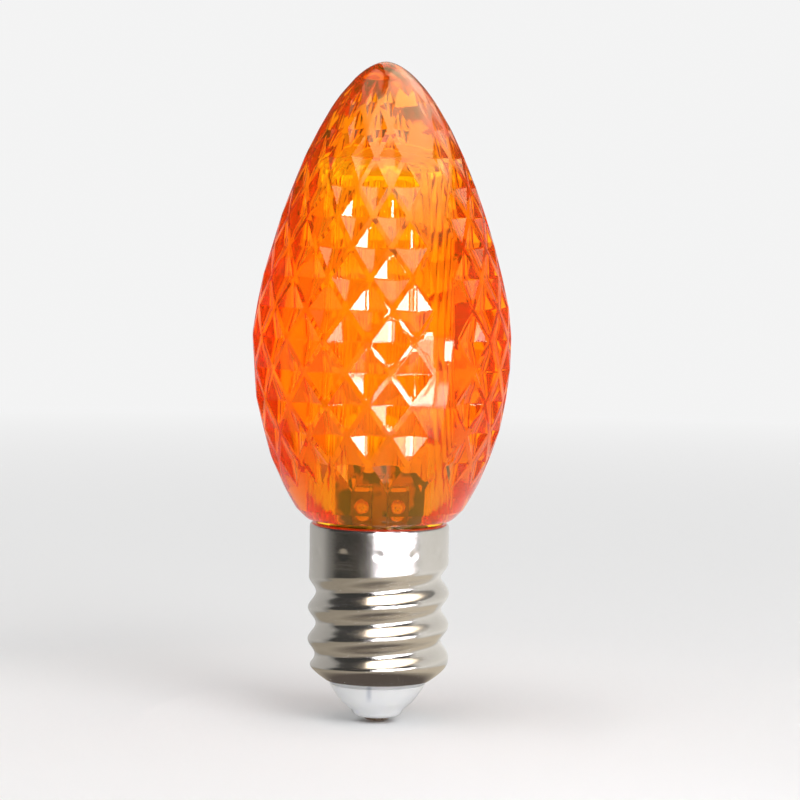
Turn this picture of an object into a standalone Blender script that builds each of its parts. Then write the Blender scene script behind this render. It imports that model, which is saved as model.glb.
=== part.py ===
"""Christmas light bulb: a candle-shaped LED replacement bulb, in the small string-light size,
with a faceted one-piece lens on a screw base.

The bulb stands on its axis, +Z towards the tip of the lens. The origin is the middle of the
flat end of the centre contact. The front, which the board's two visible LEDs face, is -Y.
"""

import math

import bmesh
import bpy
from mathutils import Matrix, Vector

MM = 0.001

# Clearance between pieces that seat on each other
FIT_GAP = 0.3 * MM

# Centre contact: a pin with a domed head
CONTACT_FLAT_RADIUS = 0.4 * MM
CONTACT_HEAD_RADIUS = 1.15 * MM
CONTACT_DOME_HEIGHT = 0.45 * MM
CONTACT_HEAD_RIM = 0.3 * MM
CONTACT_SHANK_RADIUS = 0.5 * MM
CONTACT_ABOVE_FLANGE = 0.35 * MM

# Insulator: the nose and cone below the shell, the neck in its lip and the flange above it
NOSE_START = 0.4 * MM
NOSE_RADIUS = 2.15 * MM
NOSE_HEIGHT = 0.55 * MM
SHOULDER_RADIUS = 3.0 * MM
SHOULDER_HEIGHT = 0.7 * MM
CONE_RADIUS = 4.05 * MM
CONE_HEIGHT = 1.55 * MM
FLANGE_LIFT = 0.75 * MM
FLANGE_HEIGHT = 1.3 * MM

# Screw shell: a rolled right-hand thread of the E12 size below a plain band
SHELL_LENGTH = 13.2 * MM
SHELL_WALL = 0.25 * MM
THREAD_RADIUS = 5.9 * MM
THREAD_DEPTH = 0.65 * MM
THREAD_PITCH = 2.65 * MM
GROOVE_TURNS = 2.45
GROOVE_FADE_TURNS = 0.3
GROOVE_END_DROP = 4.55 * MM
BAND_RADIUS = 5.83 * MM
BAND_LENGTH = 3.4 * MM
BAND_EDGE_ROUND = 0.35 * MM
LIP_RADIUS = 4.4 * MM
LIP_HEIGHT = 1.7 * MM

# Lens: the candle outline
LENS_LENGTH = 38.1 * MM
LENS_RADIUS = 10.8 * MM
LENS_BELLY_HEIGHT = 16.1 * MM
LENS_TIP_ROUNDNESS = 1.22
LENS_TIP_POWER = 0.562
LENS_FOOT_RADIUS = 7.0 * MM
LENS_FOOT_HEIGHT = 0.92 * MM
LENS_RIM_RADIUS = 6.0 * MM
LENS_WAIST_POWER = 2.5
LENS_NECK_LENGTH = 3.6 * MM
LENS_NECK_CHAMFER = 0.3 * MM

# Lens: the sunk diamonds, the narrow lands between them, and the two plain strips where the mould parts
FACETS_AROUND = 18
FACET_ROWS = 14
FACET_FIRST_FROM_TIP = 2.95 * MM
FACET_LAST_FROM_FOOT = 2.2 * MM
FACET_DEPTH = 0.62 * MM
FACET_LAND = 0.4 * MM
FACET_PHASE_DEG = 4.4
PARTING_FIRST_COLUMN = 2
PARTING_COLUMNS = 2

# Lens: the hollow
BORE_RADIUS = 4.2 * MM
BORE_TOP_RADIUS = 3.95 * MM
BORE_DEPTH = 34.0 * MM
BORE_DOME_HEIGHT = 2.4 * MM

# Circuit board, upright in the hollow
BOARD_THICKNESS = 1.0 * MM
BOARD_ABOVE_RIM = 5.5 * MM
BOARD_CORNER = 0.8 * MM

# LEDs
LED_WIDTH = 1.7 * MM
LED_HEIGHT = 3.1 * MM
LED_THICKNESS = 0.8 * MM
LED_WINDOW_MARGIN = 0.25 * MM
LED_WINDOW_DEPTH = 0.15 * MM
LED_BELOW_BOARD_TOP = 2.9 * MM
LED_SPACING = 2.9 * MM

# Other components on the board
CHIP_WIDTH = 1.1 * MM
CHIP_LENGTH = 1.9 * MM
CHIP_THICKNESS = 0.5 * MM
CHIP_CAP = 0.35 * MM
CHIP_CAP_RAISE = 0.05 * MM
CHIP_SPACING = 3.2 * MM
CAPACITOR_WIDTH = 2.4 * MM
CAPACITOR_LENGTH = 3.2 * MM
CAPACITOR_THICKNESS = 1.5 * MM
RECTIFIER_WIDTH = 3.8 * MM
RECTIFIER_LENGTH = 2.7 * MM
RECTIFIER_THICKNESS = 1.5 * MM
RECTIFIER_LEG_WIDTH = 0.55 * MM
RECTIFIER_LEG_REACH = 0.9 * MM
RECTIFIER_LEG_THICKNESS = 0.25 * MM
RECTIFIER_DRAFT = 0.2 * MM
PART_GAP = 0.5 * MM

# Wire-ended resistor, leads and solder
WIRE_RADIUS = 0.22 * MM
RESISTOR_RADIUS = 0.95 * MM
RESISTOR_LENGTH = 2.4 * MM
RESISTOR_LOWER_LEG = 0.58 * MM
RESISTOR_UPPER_LEG = 0.6 * MM
SOLDER_RADIUS = 0.55 * MM
SIDE_JOINT_LIFT = 0.7 * MM
SIDE_LEAD_FROM_EDGE = 1.0 * MM

ROUND_SIDES = 36
PIN_SIDES = 24
WIRE_SIDES = 8

# Heights that follow from the sizes above
SHELL_BOTTOM = NOSE_START + NOSE_HEIGHT + SHOULDER_HEIGHT + CONE_HEIGHT + FIT_GAP
FLANGE_TOP = SHELL_BOTTOM + FLANGE_LIFT + FLANGE_HEIGHT
CONTACT_TOP = FLANGE_TOP + CONTACT_ABOVE_FLANGE
CENTRE_SOLDER_TOP = CONTACT_TOP + FIT_GAP + 2 * SOLDER_RADIUS
SHELL_TOP = SHELL_BOTTOM + SHELL_LENGTH
RIM_Z = SHELL_TOP + FIT_GAP
TIP_Z = RIM_Z + LENS_LENGTH
NECK_BOTTOM = RIM_Z - LENS_NECK_LENGTH
NECK_RADIUS = BAND_RADIUS - SHELL_WALL - FIT_GAP
BORE_TOP = NECK_BOTTOM + BORE_DEPTH
BOARD_TOP = RIM_Z + BOARD_ABOVE_RIM
LEAD_BEND_Z = CENTRE_SOLDER_TOP + FIT_GAP + RESISTOR_LOWER_LEG
BOARD_BOTTOM = LEAD_BEND_Z + WIRE_RADIUS + FIT_GAP


def clear_scene():
    for old in list(bpy.data.objects):
        bpy.data.objects.remove(old, do_unlink=True)


def material(name, colour, roughness, metallic=0.0, transmission=0.0):
    made = bpy.data.materials.new(name)
    made.use_nodes = True
    shader = made.node_tree.nodes["Principled BSDF"]
    shader.inputs["Base Color"].default_value = (*colour, 1.0)
    shader.inputs["Roughness"].default_value = roughness
    shader.inputs["Metallic"].default_value = metallic
    shader.inputs["Transmission Weight"].default_value = transmission
    return made


def place(name, bm, finish, smooth_deg=30.0):
    """Makes an object of a finished bmesh: faces turned outwards and round parts shaded smooth."""
    bmesh.ops.recalc_face_normals(bm, faces=bm.faces)
    mesh = bpy.data.meshes.new(name)
    bm.to_mesh(mesh)
    bm.free()
    mesh.shade_smooth()
    mesh.set_sharp_from_angle(angle=math.radians(smooth_deg))
    mesh.materials.append(finish)
    made = bpy.data.objects.new(name, mesh)
    bpy.context.collection.objects.link(made)
    return made


def ring(bm, radius, z, sides, turn=0.0):
    """A ring of vertices round Z, or the one vertex on the axis where the radius is nothing."""
    if radius <= 0:
        return [bm.verts.new((0, 0, z))]
    step = math.tau / sides
    return [
        bm.verts.new((radius * math.cos(turn + i * step), radius * math.sin(turn + i * step), z))
        for i in range(sides)
    ]


def band(bm, lower, upper):
    """Faces between two rings of the same number of vertices, or between a ring and one point."""
    count = max(len(lower), len(upper))
    for i in range(count):
        j = (i + 1) % count
        corners = [lower[i % len(lower)], lower[j % len(lower)], upper[j % len(upper)], upper[i % len(upper)]]
        bm.faces.new(list(dict.fromkeys(corners)))


def turned(outline, sides, closed=False):
    """A solid of revolution. An open outline starts and ends on the axis; a closed one goes round."""
    bm = bmesh.new()
    rings = [ring(bm, radius, z, sides) for radius, z in outline]
    for first, second in zip(rings, rings[1:]):
        band(bm, first, second)
    if closed:
        band(bm, rings[-1], rings[0])
    return bm


def arc(centre, radii, start_deg, end_deg, steps):
    """Points (radius, z) on an ellipse round a centre, with both ends."""
    angles = [math.radians(start_deg + (end_deg - start_deg) * i / steps) for i in range(steps + 1)]
    return [(centre[0] + radii[0] * math.cos(a), centre[1] + radii[1] * math.sin(a)) for a in angles]


def block(width, depth, height):
    """A box with its middle at the origin."""
    bm = bmesh.new()
    bmesh.ops.create_cube(bm, size=1.0)
    bmesh.ops.scale(bm, vec=(width, depth, height), verts=bm.verts)
    return bm


def swept(points, radii, sides):
    """A round bar along a path, with its own radius at each point and flat ends."""
    bm = bmesh.new()
    rings = []
    side = (points[1] - points[0]).orthogonal()
    for i, (point, radius) in enumerate(zip(points, radii)):
        along = (points[min(i + 1, len(points) - 1)] - points[max(i - 1, 0)]).normalized()
        side = (side - along * side.dot(along)).normalized()
        up = along.cross(side)
        turns = [math.tau * k / sides for k in range(sides)]
        rings.append([bm.verts.new(point + (side * math.cos(t) + up * math.sin(t)) * radius) for t in turns])
    for first, second in zip(rings, rings[1:]):
        band(bm, first, second)
    bm.faces.new(rings[0])
    bm.faces.new(rings[-1])
    return bm


def fuse(body, extras):
    """Joins the extras to the body with Boolean unions and keeps them as hidden helpers."""
    for extra in extras:
        extra.hide_render = True
        extra.display_type = "WIRE"
        join = body.modifiers.new("join " + extra.name, "BOOLEAN")
        join.operation = "UNION"
        join.solver = "EXACT"
        join.object = extra


def make_contact():
    dome = arc(
        (CONTACT_FLAT_RADIUS, CONTACT_DOME_HEIGHT),
        (CONTACT_HEAD_RADIUS - CONTACT_FLAT_RADIUS, CONTACT_DOME_HEIGHT),
        -90, 0, 5,
    )
    head_top = CONTACT_DOME_HEIGHT + CONTACT_HEAD_RIM
    outline = [(0, 0)] + dome + [
        (CONTACT_HEAD_RADIUS, head_top),
        (CONTACT_SHANK_RADIUS, head_top),
        (CONTACT_SHANK_RADIUS, CONTACT_TOP),
        (0, CONTACT_TOP),
    ]
    finish = material("contact_metal", (0.80, 0.74, 0.62), 0.3, metallic=1.0)
    return place("centre_contact", turned(outline, PIN_SIDES), finish)


def make_insulator():
    hole = CONTACT_SHANK_RADIUS + FIT_GAP
    sink = CONTACT_HEAD_RADIUS + FIT_GAP
    sink_top = CONTACT_DOME_HEIGHT + CONTACT_HEAD_RIM + FIT_GAP
    nose_top = NOSE_START + NOSE_HEIGHT
    shoulder_top = nose_top + SHOULDER_HEIGHT
    cone_top = shoulder_top + CONE_HEIGHT
    neck = LIP_RADIUS - SHELL_WALL - FIT_GAP
    flange = THREAD_RADIUS - THREAD_DEPTH - SHELL_WALL - FIT_GAP
    nose = arc((sink, nose_top), (NOSE_RADIUS - sink, NOSE_HEIGHT), -90, -18, 4)
    outline = nose + [
        (NOSE_RADIUS, nose_top),
        ((NOSE_RADIUS + SHOULDER_RADIUS) / 2, nose_top + 0.46 * SHOULDER_HEIGHT),
        (SHOULDER_RADIUS, shoulder_top),
        ((SHOULDER_RADIUS + CONE_RADIUS) / 2, shoulder_top + 0.52 * CONE_HEIGHT),
        (CONE_RADIUS, cone_top),
        (neck, cone_top),
        (neck, SHELL_BOTTOM + SHELL_WALL / 2),
        (flange, FLANGE_TOP - FLANGE_HEIGHT),
        (flange, FLANGE_TOP),
        (hole, FLANGE_TOP),
        (hole, sink_top),
        (sink, sink_top),
    ]
    finish = material("milky_plastic", (0.86, 0.88, 0.90), 0.35, transmission=0.3)
    return place("insulator", turned(outline, ROUND_SIDES, closed=True), finish)


def smooth_step(share):
    share = min(max(share, 0.0), 1.0)
    return share * share * (3 - 2 * share)


def groove_depth(angle, z):
    """Depth of the thread groove under the crests, at an angle from +X and a height."""
    highest = SHELL_TOP - GROOVE_END_DROP
    depth = 0.0
    for turn in range(math.ceil(GROOVE_TURNS + 2 * GROOVE_FADE_TURNS) + 1):
        along = angle / math.tau - turn
        away = (z - highest - THREAD_PITCH * along) / THREAD_PITCH
        if abs(away) < 0.5:
            top_fade = 1 - smooth_step(along / GROOVE_FADE_TURNS)
            bottom_fade = 1 - smooth_step((-along - GROOVE_TURNS) / GROOVE_FADE_TURNS)
            depth += THREAD_DEPTH * top_fade * bottom_fade * math.cos(math.pi * away) ** 2
    return depth


def shell_radius(angle, z):
    """Outside radius of the shell: the curled lip, the thread and the plain band."""
    up = z - SHELL_BOTTOM
    down = SHELL_TOP - z
    radius = LIP_RADIUS + (THREAD_RADIUS - LIP_RADIUS) * math.sin(math.pi / 2 * min(up / LIP_HEIGHT, 1))
    radius += (BAND_RADIUS - THREAD_RADIUS) * (1 - smooth_step((down - BAND_LENGTH) / THREAD_PITCH))
    if down < BAND_EDGE_ROUND:
        share = 1 - down / BAND_EDGE_ROUND
        radius -= SHELL_WALL * (1 - math.sqrt(max(1 - share * share, 0.0)))
    lip_share = smooth_step((up - LIP_HEIGHT / 2) / (LIP_HEIGHT / 2))
    return radius - groove_depth(angle, z) * lip_share


def make_shell():
    thread_top = SHELL_LENGTH - BAND_LENGTH
    thread_steps = math.ceil(thread_top / (THREAD_PITCH / 8))
    heights = [SHELL_BOTTOM + thread_top * i / thread_steps for i in range(thread_steps)]
    flat_length = BAND_LENGTH - BAND_EDGE_ROUND
    heights += [SHELL_BOTTOM + thread_top + flat_length * i / 4 for i in range(4)]
    heights += [SHELL_TOP - BAND_EDGE_ROUND * (1 - share) for share in (0, 0.5, 0.85, 1)]
    bm = bmesh.new()
    angles = [math.tau * i / ROUND_SIDES for i in range(ROUND_SIDES)]

    def shell_ring(z, inset):
        points = [(shell_radius(a, z) - inset, a) for a in angles]
        return [bm.verts.new((r * math.cos(a), r * math.sin(a), z)) for r, a in points]

    rings = [shell_ring(z, 0) for z in heights]
    rings += [shell_ring(z, SHELL_WALL) for z in reversed(heights)]
    for first, second in zip(rings, rings[1:] + rings[:1]):
        band(bm, first, second)
    finish = material("nickel_plate", (0.72, 0.69, 0.64), 0.22, metallic=1.0)
    return place("screw_shell", bm, finish, smooth_deg=50.0)


def lens_outline():
    """The outside of the lens from the tip to the foot, as (distance along it, radius, z)."""
    waist = LENS_BELLY_HEIGHT - LENS_FOOT_HEIGHT
    upper = LENS_LENGTH - LENS_BELLY_HEIGHT
    points = []
    for i in range(400):
        share = 1 - (i / 400) ** 2
        radius = LENS_RADIUS * (1 - share ** LENS_TIP_ROUNDNESS) ** LENS_TIP_POWER
        points.append((radius, RIM_Z + LENS_BELLY_HEIGHT + upper * share))
    for i in range(201):
        share = i / 200
        radius = LENS_RADIUS - (LENS_RADIUS - LENS_FOOT_RADIUS) * share ** LENS_WAIST_POWER
        points.append((radius, RIM_Z + LENS_BELLY_HEIGHT - waist * share))
    outline = [(0.0, *points[0])]
    for before, after in zip(points, points[1:]):
        outline.append((outline[-1][0] + math.dist(before, after), *after))
    return outline


def along_outline(outline, distance):
    """Radius, z and the outward normal (radial, axial) at a distance from the tip."""
    for (d0, r0, z0), (d1, r1, z1) in zip(outline, outline[1:]):
        if distance <= d1 or d1 == outline[-1][0]:
            share = (distance - d0) / (d1 - d0)
            normal = Vector((z0 - z1, r1 - r0)).normalized()
            return r0 + (r1 - r0) * share, z0 + (z1 - z0) * share, normal


def bore_radius(z):
    """Radius of the tapered hollow at a height below its dome."""
    share = (z - NECK_BOTTOM) / (BORE_DEPTH - BORE_DOME_HEIGHT)
    return BORE_RADIUS + (BORE_TOP_RADIUS - BORE_RADIUS) * share


def make_lens():
    """One moulding. Its lattice points sit at (row, column) where row + column is even, its
    diamonds where it is odd: each is a sunk four-sided pyramid, inset from the lattice by a land.
    The diamonds in the two parting strips stay level, so that each half leaves the mould."""
    outline = lens_outline()
    length = outline[-1][0]
    columns = 2 * FACETS_AROUND
    step = math.tau / columns
    phase = math.radians(FACET_PHASE_DEG - 90)
    first = FACET_FIRST_FROM_TIP
    row_step = (length - FACET_LAST_FROM_FOOT - first) / FACET_ROWS
    bm = bmesh.new()
    known = {}

    def vertex(row, column, sunk=0.0):
        key = (round(row, 6), round(column % columns, 6), sunk)
        if key not in known:
            radius, z, normal = along_outline(outline, first + row * row_step)
            depth = sunk * radius / LENS_RADIUS
            angle = phase + column * step
            radius -= depth * normal[0]
            z -= depth * normal[1]
            known[key] = bm.verts.new((radius * math.cos(angle), radius * math.sin(angle), z))
        return known[key]

    def inset(row):
        """The share of a half diagonal that the land takes at each corner of a diamond."""
        across = along_outline(outline, first + row * row_step)[0] * step
        return FACET_LAND / 2 * math.hypot(across, row_step) / (across * row_step)

    def north(row, column):
        return vertex(row - inset(row), column)

    def south(row, column):
        return vertex(row + inset(row), column)

    def east(row, column):
        return vertex(row, column + inset(row))

    def west(row, column):
        return vertex(row, column - inset(row))

    def fan(hub, *rim):
        for a, b in zip(rim, rim[1:]):
            bm.faces.new((hub, a, b))

    for row in range(1, FACET_ROWS):
        for column in range(columns):
            if (row + column) % 2:
                top, bottom = south(row - 1, column), north(row + 1, column)
                left, right = east(row, column - 1), west(row, column + 1)
                plain = (column - PARTING_FIRST_COLUMN) % FACETS_AROUND < PARTING_COLUMNS
                fan(vertex(row, column, 0.0 if plain else FACET_DEPTH), left, top, right, bottom, left)
            else:
                around = west(row, column), south(row, column), east(row, column), north(row, column)
                bm.faces.new(around)
                if row < FACET_ROWS - 1:
                    for turn, start, stop in ((1, east, west), (-1, west, east)):
                        below = row + 1, column + turn
                        bm.faces.new((start(row, column), north(*below), stop(*below), south(row, column)))

    for column in range(columns):
        before, after = column - 1, column + 1
        if column % 2:
            fan(
                north(1, column), west(1, column), south(0, before), vertex(0, before),
                vertex(0, column), vertex(0, after), south(0, after), east(1, column),
            )
        last = FACET_ROWS
        if (last + column) % 2:
            fan(
                south(last - 1, column), east(last - 1, column), north(last, after), vertex(last, after),
                vertex(last, column), vertex(last, before), north(last, before), west(last - 1, column),
            )

    def smooth_ring(distance):
        radius, z, _ = along_outline(outline, distance)
        return ring(bm, radius, z, columns, phase)

    cap = [[bm.verts.new((0, 0, TIP_Z))]]
    cap += [smooth_ring(first * share) for share in (0.12, 0.3, 0.52, 0.76)]
    cap.append([vertex(0, column) for column in range(columns)])
    below = [[vertex(FACET_ROWS, column) for column in range(columns)]]
    below += [smooth_ring(length - FACET_LAST_FROM_FOOT * share) for share in (0.66, 0.33, 0)]

    straight = BORE_DEPTH - BORE_DOME_HEIGHT
    sections = [
        (LENS_RIM_RADIUS, RIM_Z),
        (NECK_RADIUS, RIM_Z),
        (NECK_RADIUS, NECK_BOTTOM + LENS_NECK_CHAMFER),
        (NECK_RADIUS - LENS_NECK_CHAMFER, NECK_BOTTOM),
    ]
    bore_heights = [NECK_BOTTOM + straight * i / 4 for i in range(4)]
    sections += [(bore_radius(z), z) for z in bore_heights]
    sections += arc((0, NECK_BOTTOM + straight), (BORE_TOP_RADIUS, BORE_DOME_HEIGHT), 0, 75, 5)
    sections.append((0, BORE_TOP))
    rest = [ring(bm, radius, z, columns, phase) for radius, z in sections]
    for rings in (cap, below + rest):
        for upper, lower in zip(rings, rings[1:]):
            band(bm, upper, lower)
    finish = material("orange_lens", (1.0, 0.30, 0.0), 0.05, transmission=0.9)
    return place("lens", bm, finish, smooth_deg=7.0)


def half_board_width():
    reach = bore_radius(BOARD_TOP) - FIT_GAP
    return math.sqrt(reach**2 - (BOARD_THICKNESS / 2) ** 2)


def make_board():
    half = half_board_width()
    outline = [
        (-half, BOARD_BOTTOM),
        (half, BOARD_BOTTOM),
        (half, BOARD_TOP - BOARD_CORNER),
        (half - BOARD_CORNER, BOARD_TOP),
        (BOARD_CORNER - half, BOARD_TOP),
        (-half, BOARD_TOP - BOARD_CORNER),
    ]
    bm = bmesh.new()
    face = bm.faces.new([bm.verts.new((x, -BOARD_THICKNESS / 2, z)) for x, z in outline])
    grown = bmesh.ops.extrude_face_region(bm, geom=[face])["geom"]
    moved = [item for item in grown if isinstance(item, bmesh.types.BMVert)]
    bmesh.ops.translate(bm, vec=(0, BOARD_THICKNESS, 0), verts=moved)
    finish = material("board_laminate", (0.03, 0.20, 0.08), 0.4)
    return place("circuit_board", bm, finish)


def on_board(made, x, z, thickness, side):
    """Puts a component, modelled with its face to -Y, on the front (-1) or back (+1) of the board."""
    away = BOARD_THICKNESS / 2 + FIT_GAP + thickness / 2
    turn = 0.0 if side < 0 else math.pi
    made.matrix_world = Matrix.Translation((x, side * away, z)) @ Matrix.Rotation(turn, 4, "Z")


def make_led(name, x, side, finish):
    """A surface-mount LED with a shallow window in its face."""
    bm = block(LED_WIDTH, LED_THICKNESS, LED_HEIGHT)
    bm.normal_update()
    face = min(bm.faces, key=lambda f: f.normal.y)
    bmesh.ops.inset_region(bm, faces=[face], thickness=LED_WINDOW_MARGIN)
    bmesh.ops.inset_region(bm, faces=[face], thickness=LED_WINDOW_DEPTH, depth=-LED_WINDOW_DEPTH)
    led = place(name, bm, finish)
    on_board(led, x, BOARD_TOP - LED_BELOW_BOARD_TOP, LED_THICKNESS, side)


def make_chip(name, size, x, z, finish, lengthwise=False):
    """A ceramic chip with two end caps that stand a little proud of its body."""
    width, length, thickness = size
    bm = block(width, thickness, length)
    for height in (CHIP_CAP - length / 2, length / 2 - CHIP_CAP):
        everything = bm.verts[:] + bm.edges[:] + bm.faces[:]
        bmesh.ops.bisect_plane(bm, geom=everything, plane_co=(0, 0, height), plane_no=(0, 0, 1))
    bm.normal_update()
    bm.faces.ensure_lookup_table()
    caps = [f for f in bm.faces if abs(f.calc_center_median().z) > length / 2 - CHIP_CAP]
    bmesh.ops.inset_region(bm, faces=caps, thickness=CHIP_CAP_RAISE, depth=CHIP_CAP_RAISE, use_boundary=True)
    chip = place(name, bm, finish)
    on_board(chip, x, z, thickness + 2 * CHIP_CAP_RAISE, -1)
    if lengthwise:
        chip.matrix_world = chip.matrix_world @ Matrix.Rotation(math.pi / 2, 4, "Y")


def make_rectifier(z):
    """A bridge rectifier in its four-legged package, on the back of the board."""
    resin = material("rectifier_resin", (0.02, 0.02, 0.02), 0.5)
    bm = block(RECTIFIER_WIDTH, RECTIFIER_THICKNESS, RECTIFIER_LENGTH)
    for v in bm.verts:
        if v.co.y < 0:
            v.co.x -= math.copysign(RECTIFIER_DRAFT, v.co.x)
            v.co.z -= math.copysign(RECTIFIER_DRAFT, v.co.z)
    body = place("bridge_rectifier", bm, resin)
    on_board(body, 0, z, RECTIFIER_THICKNESS, 1)
    legs = []
    leg_centre = RECTIFIER_THICKNESS / 2 - RECTIFIER_LEG_THICKNESS
    for side in (-1, 1):
        for end in (-1, 1):
            leg = block(RECTIFIER_LEG_REACH * 2, RECTIFIER_LEG_THICKNESS, RECTIFIER_LEG_WIDTH)
            x = side * RECTIFIER_WIDTH / 2
            bmesh.ops.translate(leg, vec=(x, leg_centre, end * RECTIFIER_LENGTH / 4), verts=leg.verts)
            made = place(f"leg_{side}_{end}", leg, resin)
            made.matrix_world = body.matrix_world.copy()
            legs.append(made)
    fuse(body, legs)


def bent(corners, steps=3):
    """A path through the corners, with each inner corner rounded over a third of its legs."""
    path = [corners[0]]
    for before, corner, after in zip(corners, corners[1:], corners[2:]):
        start = corner.lerp(before, 1 / 3)
        stop = corner.lerp(after, 1 / 3)
        for i in range(steps + 1):
            t = i / steps
            path.append(start.lerp(corner, t).lerp(corner.lerp(stop, t), t))
    return path + [corners[-1]]


def make_fuse_resistor():
    """A resistor between the centre contact and the back of the board, bent from its own leads."""
    away = BOARD_THICKNESS / 2 + FIT_GAP + PART_GAP + RESISTOR_RADIUS
    low = BOARD_BOTTOM + FIT_GAP
    high = low + RESISTOR_LENGTH
    top_bend = high + RESISTOR_UPPER_LEG
    lower = bent([
        Vector((0, 0, CENTRE_SOLDER_TOP + FIT_GAP)),
        Vector((0, 0, LEAD_BEND_Z)),
        Vector((0, away, LEAD_BEND_Z)),
        Vector((0, away, low)),
    ])
    upper = bent([
        Vector((0, away, high)),
        Vector((0, away, top_bend)),
        Vector((0, BOARD_THICKNESS / 2 + FIT_GAP, top_bend)),
    ])
    shoulder = RESISTOR_RADIUS / 4
    body = [(low, 0.7), (low + shoulder, 1.0), (high - shoulder, 1.0), (high, 0.7)]
    points = lower + [Vector((0, away, z + 0.01 * MM * (z == low) - 0.01 * MM * (z == high))) for z, _ in body]
    points += upper
    radii = [WIRE_RADIUS] * len(lower) + [RESISTOR_RADIUS * share for _, share in body]
    radii += [WIRE_RADIUS] * len(upper)
    finish = material("resistor_coat", (0.45, 0.33, 0.20), 0.5)
    return place("fuse_resistor", swept(points, radii, WIRE_SIDES * 2), finish)


def make_solder(name, place_at, finish):
    bm = bmesh.new()
    bmesh.ops.create_uvsphere(bm, u_segments=16, v_segments=8, radius=SOLDER_RADIUS)
    made = place(name, bm, finish)
    made.location = place_at
    return made


def make_side_lead(start, joint):
    middle = Vector((joint.x, start.y, start.z))
    path = bent([start, middle, Vector((joint.x, joint.y, joint.z + SOLDER_RADIUS + FIT_GAP))])
    finish = material("tinned_wire", (0.70, 0.70, 0.70), 0.3, metallic=1.0)
    return place("side_lead", swept(path, [WIRE_RADIUS] * len(path), WIRE_SIDES), finish)


def build():
    clear_scene()
    make_contact()
    make_insulator()
    make_shell()
    make_lens()
    make_board()

    led_finish = material("led_package", (0.80, 0.62, 0.25), 0.3)
    for side, face in ((-1, "front"), (1, "back")):
        make_led(f"led_{face}_left", -LED_SPACING / 2, side, led_finish)
        make_led(f"led_{face}_right", LED_SPACING / 2, side, led_finish)

    resistor_finish = material("chip_resistor_glaze", (0.05, 0.05, 0.05), 0.4)
    chip = (CHIP_WIDTH, CHIP_LENGTH, CHIP_THICKNESS)
    led_bottom = BOARD_TOP - LED_BELOW_BOARD_TOP - LED_HEIGHT / 2
    top_chip_z = led_bottom - PART_GAP - CHIP_WIDTH / 2
    make_chip("chip_resistor_top", chip, 0, top_chip_z, resistor_finish, lengthwise=True)
    chip_z = top_chip_z - CHIP_WIDTH / 2 - PART_GAP - CHIP_LENGTH / 2
    make_chip("chip_resistor_left", chip, -CHIP_SPACING / 2, chip_z, resistor_finish)
    make_chip("chip_resistor_right", chip, CHIP_SPACING / 2, chip_z, resistor_finish)
    capacitor = (CAPACITOR_WIDTH, CAPACITOR_LENGTH, CAPACITOR_THICKNESS)
    capacitor_z = chip_z - CHIP_LENGTH / 2 - PART_GAP - CAPACITOR_WIDTH / 2
    ceramic = material("capacitor_ceramic", (0.50, 0.36, 0.22), 0.5)
    make_chip("chip_capacitor", capacitor, 0, capacitor_z, ceramic, lengthwise=True)
    make_rectifier(led_bottom - PART_GAP - RECTIFIER_LENGTH / 2)

    solder = material("solder", (0.60, 0.60, 0.62), 0.25, metallic=1.0)
    make_solder("centre_solder", Vector((0, 0, CENTRE_SOLDER_TOP - SOLDER_RADIUS)), solder)
    make_fuse_resistor()
    start_x = half_board_width() - SIDE_LEAD_FROM_EDGE
    start_y = -(BOARD_THICKNESS / 2 + FIT_GAP + WIRE_RADIUS)
    start = Vector((start_x, start_y, BOARD_BOTTOM + PART_GAP))
    joint_reach = THREAD_RADIUS - THREAD_DEPTH - SHELL_WALL - FIT_GAP - SOLDER_RADIUS
    joint_x = math.sqrt(joint_reach**2 - start_y**2)
    joint = Vector((joint_x, start_y, FLANGE_TOP + SIDE_JOINT_LIFT + SOLDER_RADIUS))
    make_solder("side_solder", joint, solder)
    make_side_lead(start, joint)


build()
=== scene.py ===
"""The looks of a small faceted LED Christmas bulb, piece by piece from the contact upwards."""

import math
import random

import bmesh
import bpy
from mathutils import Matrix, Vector


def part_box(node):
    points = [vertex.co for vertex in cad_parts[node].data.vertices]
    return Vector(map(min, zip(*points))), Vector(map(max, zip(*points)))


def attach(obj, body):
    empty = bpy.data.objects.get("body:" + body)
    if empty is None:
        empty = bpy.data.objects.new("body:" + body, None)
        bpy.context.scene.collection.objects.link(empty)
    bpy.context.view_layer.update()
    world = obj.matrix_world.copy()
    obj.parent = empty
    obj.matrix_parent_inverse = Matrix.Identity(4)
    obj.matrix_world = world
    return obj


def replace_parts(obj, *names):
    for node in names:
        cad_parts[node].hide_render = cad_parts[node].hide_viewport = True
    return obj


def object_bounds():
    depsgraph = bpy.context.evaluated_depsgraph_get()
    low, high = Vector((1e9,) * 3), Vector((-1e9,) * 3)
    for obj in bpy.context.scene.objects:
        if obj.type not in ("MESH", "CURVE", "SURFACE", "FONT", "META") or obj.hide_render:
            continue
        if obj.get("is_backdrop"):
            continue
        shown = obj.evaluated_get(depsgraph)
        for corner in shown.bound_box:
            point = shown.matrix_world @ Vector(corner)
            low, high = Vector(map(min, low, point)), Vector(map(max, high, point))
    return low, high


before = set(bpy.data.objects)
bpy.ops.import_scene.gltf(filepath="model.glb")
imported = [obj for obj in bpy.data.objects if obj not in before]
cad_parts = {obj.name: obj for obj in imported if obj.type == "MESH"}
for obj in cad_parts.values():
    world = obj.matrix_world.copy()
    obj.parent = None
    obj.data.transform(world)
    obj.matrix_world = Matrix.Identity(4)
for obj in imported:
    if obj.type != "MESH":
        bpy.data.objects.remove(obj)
cad_low, cad_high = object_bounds()

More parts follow.
